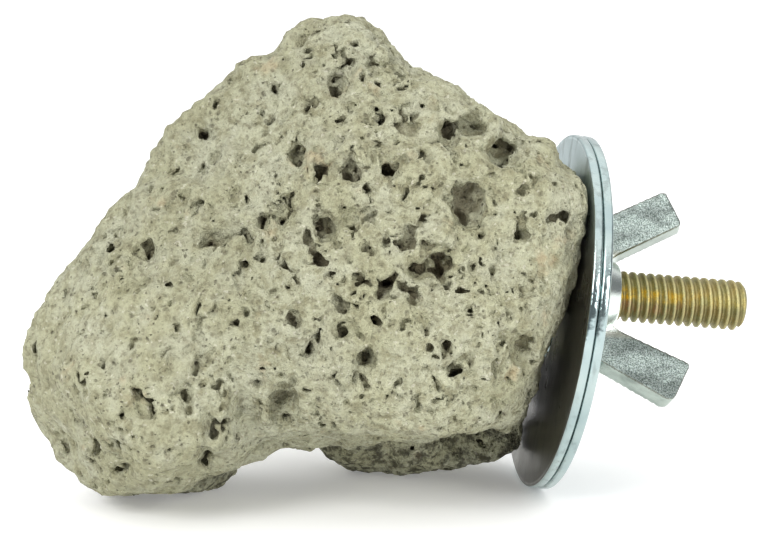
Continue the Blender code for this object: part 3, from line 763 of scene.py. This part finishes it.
def mend(mesh):
    """Takes out the faces round each torn edge and fills their places, until the skin is closed."""
    bm = bmesh.new()
    bm.from_mesh(mesh)
    for turn in range(8):
        torn = {vertex for edge in bm.edges if not edge.is_manifold for vertex in edge.verts}
        print(len(torn), "vertices on torn edges", end="; " if torn else "\n")
        if not torn:
            break
        around = {face.index: face for vertex in torn for face in vertex.link_faces}
        bmesh.ops.delete(bm, geom=[around[index] for index in sorted(around)], context="FACES")
        bmesh.ops.delete(bm, geom=[v for v in bm.verts if not v.link_faces], context="VERTS")
        filled = bmesh.ops.holes_fill(bm, edges=[e for e in bm.edges if e.is_boundary], sides=0)
        bmesh.ops.triangulate(bm, faces=filled["faces"])
        bm.faces.index_update()
    whole = largest_island(bm)
    scraps = [vertex for vertex in bm.verts if vertex not in whole]
    print(len(scraps), "vertices of scraps removed")
    bmesh.ops.delete(bm, geom=scraps, context="VERTS")
    bmesh.ops.recalc_face_normals(bm, faces=bm.faces)
    bm.to_mesh(mesh)
    bm.free()
    mesh.shade_smooth()


# %% The porous rock
VOXEL = 0.36 * MM
MOST_TRIANGLES = 190_000
FIRST_SHARE = 0.73  # of the triangles are left by the first thinning
GAP_TO_WASHERS = 0.3 * MM
low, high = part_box("lava_rock")
margin = Vector((1, 1, 1)) * 1.2 * MM  # room for the relief that stands proud of the skin

end_tree(rock_tree, shaded, lava_stone)
run_tree(skin, rock_tree, {
    "Hollows": hollows.object("rock_hollows"), "Pits": pits.object("rock_pits"),
    "Lowest corner": low - margin, "Highest corner": high + margin, "Voxel": VOXEL,
    "Gap to washers": GAP_TO_WASHERS,
})
mesh = applied(skin)
for name in ("rock_hollows", "rock_pits"):
    bpy.data.objects.remove(bpy.data.objects[name])
full = sum(len(face.vertices) - 2 for face in mesh.polygons)
print(f"the volume gave {full} triangles after {time.time() - started:.0f} s")

rough_rock = add_object("rough_rock", mesh)
if full > MOST_TRIANGLES:
    # The side that the camera doesn't see is thinned first, and then the whole rock.
    # A vertex outside the group is kept by the first one.
    unseen = rough_rock.vertex_groups.new(name="unseen")
    spots = np.empty(len(mesh.vertices) * 3, np.float32)
    mesh.vertices.foreach_get("co", spots)
    behind = np.flatnonzero(spots.reshape(-1, 3)[:, 1] > 4 * MM)
    unseen.add(behind.tolist(), 1.0, "REPLACE")
    for share, group in ((FIRST_SHARE, unseen.name), (MOST_TRIANGLES / full / FIRST_SHARE, "")):
        thin = rough_rock.modifiers.new("thin", "DECIMATE")
        thin.ratio = share
        thin.vertex_group = group
mesh = applied(rough_rock)
mend(mesh)
finish_piece("porous_rock", mesh, lava_stone, "lava_rock")
depths = np.empty(len(mesh.vertices), np.float32)
mesh.attributes["depth"].data.foreach_get("value", depths)
print("depth under the skin, mm:", np.round(np.percentile(depths, [1, 25, 50, 75, 99]), 2))

# %% [markdown]
# ## The washers
# Two large washers are stacked on the stud, and cage wires go between them. A punched washer's edges are
# a little round, and those edges are what catches the light, so the profile has them. `turned` spins a
# closed profile into a ring of points for each corner.

# %% Turned rings
def turned(profile, start, axis, sides):
    """A mesh turned from (along, radius) corners, in millimetres, round an axis that starts at a point."""
    side = axis.cross(Vector((0, 1, 0))).normalized()
    other = axis.cross(side)
    bm = bmesh.new()
    rings = []
    for along, radius in profile:
        middle = start + axis * (along * MM)
        angles = [2 * math.pi * k / sides for k in range(sides)]
        spots = [middle + (side * math.cos(a) + other * math.sin(a)) * (radius * MM) for a in angles]
        rings.append([bm.verts.new(spot) for spot in spots])
    for one, next_one in zip(rings, rings[1:] + rings[:1]):
        for k in range(sides):
            j = (k + 1) % sides
            bm.faces.new((one[k], one[j], next_one[j], next_one[k]))
    bmesh.ops.recalc_face_normals(bm, faces=bm.faces)
    mesh = bpy.data.meshes.new("turned")
    bm.to_mesh(mesh)
    bm.free()
    mesh.shade_smooth()
    return mesh


def rounded_corner(along, radius, to_along, to_radius, size, steps=5):
    """Corners of a quarter round at a profile's corner, which turns from one way to the other."""
    middle = (along + to_along * size, radius + to_radius * size)
    turns = [math.pi / 2 * k / steps for k in range(steps + 1)]
    return [
        (middle[0] - to_along * size * math.cos(t), middle[1] - to_radius * size * math.sin(t))
        for t in turns
    ]


# %% [markdown]
# ### Bright zinc
# Thin zinc plating is a bright, faintly blue-green metal. Fine scratches run round it from turning and up
# and down from use, and its roughness varies in soft clouds. The face towards the rock carries a painted
# reflection and shade of the rock.

# %% Bright zinc
bright_zinc, tree, place = new_material("bright_zinc")
clouds = tree.noise(place, 9.0, 3.0, 0.6)
from_middle = place - tuple(washer_middle / MM)
out_of_axis = tree.length(from_middle - tree.dot(from_middle, tuple(washer_axis)) * tuple(washer_axis))
rings = tree.add("ShaderNodeTexNoise", {"noise_dimensions": "1D"}, W=out_of_axis, Scale=2.2, Detail=3.0)
scratches = tree.noise(place * (0.6, 6.0, 0.25), 1.0, 3.0, 0.7)
towards_rock = (tree.dot(from_middle, tuple(washer_axis)) * -1).step(-0.12, -0.04)
colour = tree.mix(clouds.step(0.3, 0.7), paint(162, 180, 181), paint(184, 198, 195))
colour = tree.mix(scratches.step(0.62, 0.75) * 0.3, colour, paint(140, 140, 130))
painted_rock_reflection = towards_rock * place.parts()[2].step(47.0, 36.0)
# painted reflection and shade: the face towards the rock is painted darker and bluer, and up to a height
# the dark brown of the rock that it reflects
colour = tree.mix(towards_rock * 0.8, colour, paint(150, 168, 170))
colour = tree.mix(painted_rock_reflection * 0.8, colour, paint(112, 101, 93))
smudges = tree.noise(place * (1.0, 1.0, 0.35) + 21, 2.4, 3.0, 0.6).step(0.52, 0.66)
colour = tree.mix(smudges * 0.35, colour, paint(112, 118, 116))
roughness = clouds.step(0.3, 0.7, 0.1, 0.22) + scratches.step(0.5, 0.75) * 0.1
roughness = roughness + smudges * 0.08 + towards_rock * 0.16
on_rim = out_of_axis.step(26.3, 26.6)
dents = tree.noise(place, 3.5, 3.0, 0.55) * on_rim * 0.16
height = rings * 0.008 + scratches * 0.008 + dents
bumps = tree.add("ShaderNodeBump", None, Strength=1.0, Distance=MM, Height=height)
coat_with(tree, Base_Color=colour, Metallic=1.0, Roughness=roughness, Normal=bumps)
print("bright_zinc:", len(bright_zinc.node_tree.nodes), "nodes")

# %% Two washers
WASHER_RADIUS = 27.0
WASHER_BORE = 7.3
WASHER_STEEL = 1.4
WASHER_STACK = 2.86  # both washers
EDGE_ROUND = 0.42
BORE_ROUND = 0.2


def washer_profile(start):
    """The ring's corners: two round edges outside and two at the bore."""
    end = start + WASHER_STEEL
    return [
        *rounded_corner(start, WASHER_RADIUS, 1, -1, EDGE_ROUND),
        *reversed(rounded_corner(end, WASHER_RADIUS, -1, -1, EDGE_ROUND)),
        *rounded_corner(end, WASHER_BORE, -1, 1, BORE_ROUND),
        *reversed(rounded_corner(start, WASHER_BORE, 1, 1, BORE_ROUND)),
    ]


for name, node, start in (
    ("inner_washer", "washer_inner", 0.0),
    ("outer_washer", "washer_outer", WASHER_STACK - WASHER_STEEL),
):
    mesh = turned(washer_profile(start), washer_middle, washer_axis, sides=224)
    finish_piece(name, mesh, bright_zinc, node)

# %% [markdown]
# ## The threaded stud
# A screw's thread is one ridge wound round the rod. A plain tube's grid can't show it cleanly, because
# the ridge would cross the grid. So Geometry Nodes skew the grid: each column starts a little further
# along than the one before, and after one full turn it has moved by one pitch. The ridge then follows one
# row of the grid.

# %% The thread's tree
PITCH = 25.4 / 18
ROWS_PER_PITCH = 10
COLUMNS = 56
STUD_RADIUS = 3.85
THREAD_DEPTH = 0.7
STUD_LENGTH = 59.0
STUD_INSIDE = 29.0  # the part that is in the rock
thread_tree, first, given = geometry_tree("thread", {
    "Radius": "Float", "Depth": "Float", "Pitch": "Float", "Start": "Float", "Length": "Float",
    "First turn": "Float", "Tip": "Float",
})
ROWS = (int((STUD_LENGTH + 1) / PITCH) + 3) * ROWS_PER_PITCH
grid = thread_tree.add("GeometryNodeMeshGrid", None, 1.0, 1.0, ROWS + 1, COLUMNS + 1)
index = thread_tree.add("GeometryNodeInputIndex")
row = thread_tree.add("ShaderNodeMath", {"operation": "FLOOR"}, (index + 0.5) / (COLUMNS + 1))
column = index - row * (COLUMNS + 1)
turn_share = column / COLUMNS
rise = (row / ROWS_PER_PITCH + turn_share - 1.5) * given["Pitch"] + given["Start"]
along = rise.max(given["Start"]).min(given["Start"] + given["Length"])
turns = row / ROWS_PER_PITCH + given["First turn"]
phase = thread_tree.add("ShaderNodeMath", {"operation": "FRACT"}, turns)
ridge = thread_tree.add("ShaderNodeMath", {"operation": "ABSOLUTE"}, phase * 2 - 1).step(0.12, 0.84)
threaded = along.step(-3.0 * MM, -1.5 * MM)  # the end inside the rock is plain
depth_here = (1 - ridge) * given["Depth"] * threaded
to_tip = given["Start"] + given["Length"] - along
chamfer = to_tip + given["Radius"] - given["Tip"]
inner_chamfer = along - given["Start"] + given["Radius"] - given["Tip"]
radius = (given["Radius"] - depth_here).min(chamfer).min(inner_chamfer)
angle = turn_share * (2 * math.pi)
across = thread_tree.add("ShaderNodeMath", {"operation": "COSINE"}, angle) * radius
sideways = thread_tree.add("ShaderNodeMath", {"operation": "SINE"}, angle) * radius
spot = along * tuple(stud_axis) + across * tuple(stud_up) + sideways * (0, -1, 0) + tuple(stud_start)
wound = thread_tree.add("GeometryNodeSetPosition", None, grid, None, spot)
merged = thread_tree.add("GeometryNodeMergeByDistance", None, wound, None, 1e-6)
wound_smooth = thread_tree.add("GeometryNodeSetShadeSmooth", None, merged)
print("thread:", len(thread_tree.node_tree.nodes), "nodes")

# %% [markdown]
# ### Yellow zinc
# The rod is yellow-passivated zinc, olive in tone. Its crests are worn pale, and the root of the thread is
# darker. A painted highlight lies along its upper side: it is painted lighter, with gold patches on it and
# rosy ones just below, near the nut.

# %% Yellow zinc
yellow_zinc, tree, place = new_material("yellow_zinc")
from_start = place - tuple(stud_start / MM)
out_of_axis = tree.length(from_start - tree.dot(from_start, tuple(stud_axis)) * tuple(stud_axis))
tint = tree.noise(place, 2.5, 3.0, 0.6)
fine = tree.noise(place, 0.22, 3.0, 0.7)
colour = tree.mix(tint.step(0.35, 0.65), paint(150, 146, 104), paint(164, 150, 102))
height_on_rod = tree.dot(from_start, tuple(stud_up))
# painted highlight: the upper side is painted lighter, and near the nut gold patches on it and rosy ones
# just below stand for the reflection of the light
near_nut = tree.dot(from_start, tuple(stud_axis)).step(15.0, 24.0, 1.0, 0.15)
painted_gold_highlight = height_on_rod.step(-0.4, 0.5) * height_on_rod.step(2.2, 1.2)
painted_gold_highlight = tree.noise(place + 47, 1.3, 2.0).step(0.4, 0.6) * painted_gold_highlight
painted_lit_upper_side = height_on_rod.step(-0.8, 0.4) * height_on_rod.step(3.4, 2.4)
colour = tree.mix(painted_lit_upper_side, colour, colour * 1.3)
colour = tree.mix(painted_gold_highlight * near_nut * 0.85, colour, paint(234, 198, 74))
painted_rosy_reflection = height_on_rod.step(0.4, -0.4) * height_on_rod.step(-2.4, -1.4)
painted_rosy_reflection = tree.noise(place + 9, 1.6, 2.0).step(0.45, 0.6) * painted_rosy_reflection
colour = tree.mix(painted_rosy_reflection * near_nut * 0.5, colour, paint(184, 140, 114))
colour = tree.mix(fine.step(0.3, 0.7), colour * 0.62, colour * 1.3)
colour = tree.mix(out_of_axis.step(3.79, 3.845) * 0.3, colour, paint(192, 190, 148))
# the root of the thread is darker
colour = tree.mix(out_of_axis.step(3.15, 3.35, 1.0, 0.0) * 0.5, colour, paint(116, 108, 74))
bumps = tree.add("ShaderNodeBump", None, Strength=1.0, Distance=MM, Height=fine * 0.05)
coat_with(tree, Base_Color=colour, Metallic=1.0, Roughness=fine.step(0.3, 0.7, 0.42, 0.58), Normal=bumps)
print("yellow_zinc:", len(yellow_zinc.node_tree.nodes), "nodes")

# %% The stud
end_tree(thread_tree, wound_smooth, yellow_zinc)
stud = add_object("stud_blank", bpy.data.meshes.new("stud_blank"))
run_tree(stud, thread_tree, {
    "Radius": STUD_RADIUS * MM, "Depth": THREAD_DEPTH * MM, "Pitch": PITCH * MM,
    "Start": -STUD_INSIDE * MM, "Length": STUD_LENGTH * MM, "First turn": 0.0, "Tip": 0.75 * MM,
})
mesh = applied(stud)
bm = bmesh.new()
bm.from_mesh(mesh)
rims = [edge for edge in bm.edges if edge.is_boundary]
bmesh.ops.holes_fill(bm, edges=rims, sides=0)
bmesh.ops.recalc_face_normals(bm, faces=bm.faces)
print("stud's open edges left:", sum(edge.is_boundary for edge in bm.edges))
bm.to_mesh(mesh)
bm.free()
finish_piece("threaded_stud_piece", mesh, yellow_zinc, "threaded_stud")

# %% [markdown]
# ## The wing nut
# The nut is a zinc casting: a short cone with two flat wings. Its outline is drawn in the plane of the
# wings, each corner with its own radius. The cone and the wings are put together loosely, then a voxel
# remesh turns them into one skin of small even squares. Smoothing those rounds every edge by about the
# same amount and leaves a soft fillet where a wing leaves the cone, as casting does.

# %% The nut's outline
NUT_START = 3.5
NUT_ROLL = math.radians(-22)
WING_THICKNESS = 2.4
WING_ROOT = ((0.6, 4.6, 0), (0.6, 7.4, 0), (3.8, 11.6, 2.5))  # along the stud, away from it, and radius
UPPER_WING = (*WING_ROOT, (14.3, 17.3, 0.7), (17.5, 11.3, 0.8), (7.1, 5.5, 2), (5.2, 4.2, 0))
LOWER_WING = (*WING_ROOT, (15.4, 17.3, 1.3), (18.7, 10.1, 0.6), (7.6, 5.8, 2), (5.4, 4.6, 0))
# Each face of a wing is a little smaller than the outline, by this much at each corner.
INNER_STRIP = ((0, 0), (0, 0), (0, 0), (-0.36, -0.18), (-0.7, 0.55), (-0.35, 0.75), (-0.3, 0.7))
OUTER_STRIP = ((0, 0), (0.3, -0.9), (0.5, -1.0), (0.2, -1.1), (-0.3, -0.1), (0, 0), (0, 0))
CONE = ((0, 3.95), (0, 7.1), (0.5, 7.5), (1.4, 7.4), (5.9, 5.15), (6.5, 4.85), (6.6, 4.4), (6.6, 3.95))


def filleted(outline, steps=6):
    """The outline's points with each corner that has a radius replaced by an arc."""
    points = []
    for i, (x, y, radius) in enumerate(outline):
        corner = Vector((x, y))
        if not radius:
            points.append(corner)
            continue
        before = (Vector(outline[i - 1][:2]) - corner).normalized()
        after = (Vector(outline[(i + 1) % len(outline)][:2]) - corner).normalized()
        half = before.angle(after) / 2
        centre = corner + (before + after).normalized() * radius / math.sin(half)
        ends = [corner + way * radius / math.tan(half) - centre for way in (before, after)]
        shares = [k / steps for k in range(steps + 1)]
        points += [centre + ends[0].lerp(ends[1], share).normalized() * radius for share in shares]
    return points


# %% Cone and wings as one loose mesh
wing_up = stud_up * math.cos(NUT_ROLL) + stud_axis.cross(stud_up) * math.sin(NUT_ROLL)
wing_face = stud_axis.cross(wing_up)
nut_start = stud_start + stud_axis * (NUT_START * MM)
bm = bmesh.new()
bm.from_mesh(turned(CONE, nut_start, stud_axis, sides=96))
for outline, side in ((UPPER_WING, 1), (LOWER_WING, -1)):
    rims = []
    for half in (-WING_THICKNESS / 2, WING_THICKNESS / 2):
        strip = INNER_STRIP if half * side > 0 else OUTER_STRIP
        drafted = [(x + dx, y + dy, r) for (x, y, r), (dx, dy) in zip(outline, strip)]
        spots = [stud_axis * p.x + wing_up * (p.y * side) + wing_face * half for p in filleted(drafted)]
        rims.append([bm.verts.new(nut_start + spot * MM) for spot in spots])
    walls = [bm.faces.new(rims[0]), bm.faces.new(rims[1])]
    for k in range(len(rims[0])):
        walls.append(bm.faces.new((rims[0][k - 1], rims[0][k], rims[1][k], rims[1][k - 1])))
    bmesh.ops.recalc_face_normals(bm, faces=walls)
mesh = bpy.data.meshes.new("nut")
bm.to_mesh(mesh)
bm.free()
print("loose nut:", len(mesh.polygons), "faces")

# %% [markdown]
# ### Cast zinc
# The wings' flat faces kept the grain of the sand-blasted mould, and their edges and the cone are smooth
# and brighter. The mesh carries that difference as an attribute, found from which way each point faces.

# %% Cast zinc
cast_zinc, tree, place = new_material("cast_zinc")
grainy = tree.add("ShaderNodeAttribute", {"attribute_name": "grainy"}, output="Fac")
grit = tree.noise(place, 0.19, 2.0, 0.7)
speckle = tree.noise(place + 17, 0.3, 2.0, 0.6)
clouds = tree.noise(place * (0.5, 1.0, 1.0), 3.0, 3.0, 0.6)
from_nut = tree.length(place - tuple(nut_start / MM))
smooth_colour = tree.mix(clouds.step(0.35, 0.65), paint(148, 158, 150), paint(186, 196, 187))
smooth_colour = tree.mix(from_nut.step(9.5, 8.0), smooth_colour, paint(232, 240, 234))
rough_colour = tree.mix(grit.step(0.35, 0.65), paint(98, 110, 104), paint(196, 208, 202))
rough_colour = tree.mix(speckle.step(0.56, 0.68) * 0.5, rough_colour, paint(84, 92, 88))
paleness = clouds.step(0.4, 0.6) * from_nut.step(8.0, 14.0, 0.5, 1.0)
rough_colour = tree.mix(paleness, rough_colour * 0.6, rough_colour * 1.12)
# Painted light: the second wing's faces are painted duller and its edges brighter, as the light falls on it
# differently.
lower_wing_painted_light = tree.dot(place - tuple(nut_start / MM), tuple(wing_up)).step(-2.0, -4.0)
rough_colour = rough_colour * (1 - lower_wing_painted_light * 0.2)
smooth_colour = smooth_colour * (0.86 + lower_wing_painted_light * 0.26)
colour = tree.mix(grainy, smooth_colour, rough_colour)
colour = tree.mix(grainy * (1 - grainy) * 2.4, colour, paint(104, 98, 82))
height = (grit * 0.1 + speckle * 0.08) * (grainy * 0.9 + 0.1)
bumps = tree.add("ShaderNodeBump", None, Strength=1.0, Distance=MM, Height=height)
roughness = grainy * 0.16 + 0.2
coat_with(tree, Base_Color=colour, Metallic=1.0, Roughness=roughness, Normal=bumps)
print("cast_zinc:", len(cast_zinc.node_tree.nodes), "nodes")

# %% One skin with soft edges
nut = add_object("nut_blank", mesh)
remesh = nut.modifiers.new("even", "REMESH")
remesh.mode = "VOXEL"
remesh.voxel_size = 0.2 * MM
remesh.use_smooth_shade = True
soft = nut.modifiers.new("soft", "SMOOTH")
soft.factor = 0.5
soft.iterations = 5
mesh = applied(nut)
facing = np.empty(len(mesh.vertices) * 3, np.float32)
mesh.vertices.foreach_get("normal", facing)
places = np.empty(len(mesh.vertices) * 3, np.float32)
mesh.vertices.foreach_get("co", places)
flat = np.abs(facing.reshape(-1, 3) @ np.array(wing_face))
rise = np.abs((places.reshape(-1, 3) - np.array(nut_start)) @ np.array(wing_up)) / MM
grain = np.clip((flat - 0.8) / 0.15, 0, 1) * np.clip((rise - 5.5) / 1.5, 0, 1)
mesh.attributes.new("grainy", "FLOAT", "POINT").data.foreach_set("value", grain.astype(np.float32))
finish_piece("cast_wing_nut", mesh, cast_zinc, "wing_nut")

# %% [markdown]
# ## The floor and the light
# A plain pale floor and soft light from both sides of the camera. The sky is brightest at the horizon and
# greyer above, which gives the metal something darker to reflect.

# %% The floor
floor_white, tree, place = new_material("floor_white")
coat_with(
    tree, Base_Color=paint(244, 244, 244), Roughness=0.75, Specular_IOR_Level=0.2,
    Emission_Color=(1.0, 1.0, 1.0), Emission_Strength=0.2,
)
bm = bmesh.new()
bmesh.ops.create_circle(bm, cap_ends=True, segments=96, radius=6.0)
mesh = bpy.data.meshes.new("floor")
bm.to_mesh(mesh)
bm.free()
mesh.materials.append(floor_white)
add_object("floor", mesh)

# %% The sky and the soft lights
world = bpy.data.worlds.new("sky")
bpy.context.scene.world = world
world.use_nodes = True
world.node_tree.nodes.clear()
tree = Tree(world.node_tree)
_, behind, height = tree.add("ShaderNodeTexCoord", output="Generated").parts()
walls = tree.mix(behind.step(0.1, 0.5), (0.22, 0.23, 0.24), (0.95, 0.97, 0.97))
light = tree.mix(height.step(0.01, 0.1), (1.1, 1.1, 1.1), walls)
light = tree.mix(height.step(0.45, 0.75), light, (1.45, 1.45, 1.45))
glow = tree.add("ShaderNodeBackground", None, light, 1.0)
tree.add("ShaderNodeOutputWorld", None, glow)


def softbox(name, place, aim, width, height, watts):
    """A soft rectangle of light that looks from one point at another."""
    light = bpy.data.lights.new(name, "AREA")
    light.shape = "RECTANGLE"
    light.size, light.size_y = width, height
    light.energy = watts
    lamp = bpy.data.objects.new(name, light)
    turn = (aim - place).to_track_quat("-Z", "Y").to_matrix().to_4x4()
    lamp.matrix_world = Matrix.Translation(place) @ turn
    bpy.context.scene.collection.objects.link(lamp)


aim = Vector((0, 0, 0.03))
softbox("left_softbox", Vector((-0.7, -0.8, 0.7)), aim, width=0.5, height=0.5, watts=9.0)
softbox("right_softbox", Vector((0.6, -0.95, 0.4)), aim, width=0.4, height=0.4, watts=4.5)
bpy.context.scene.view_settings.view_transform = "Standard"
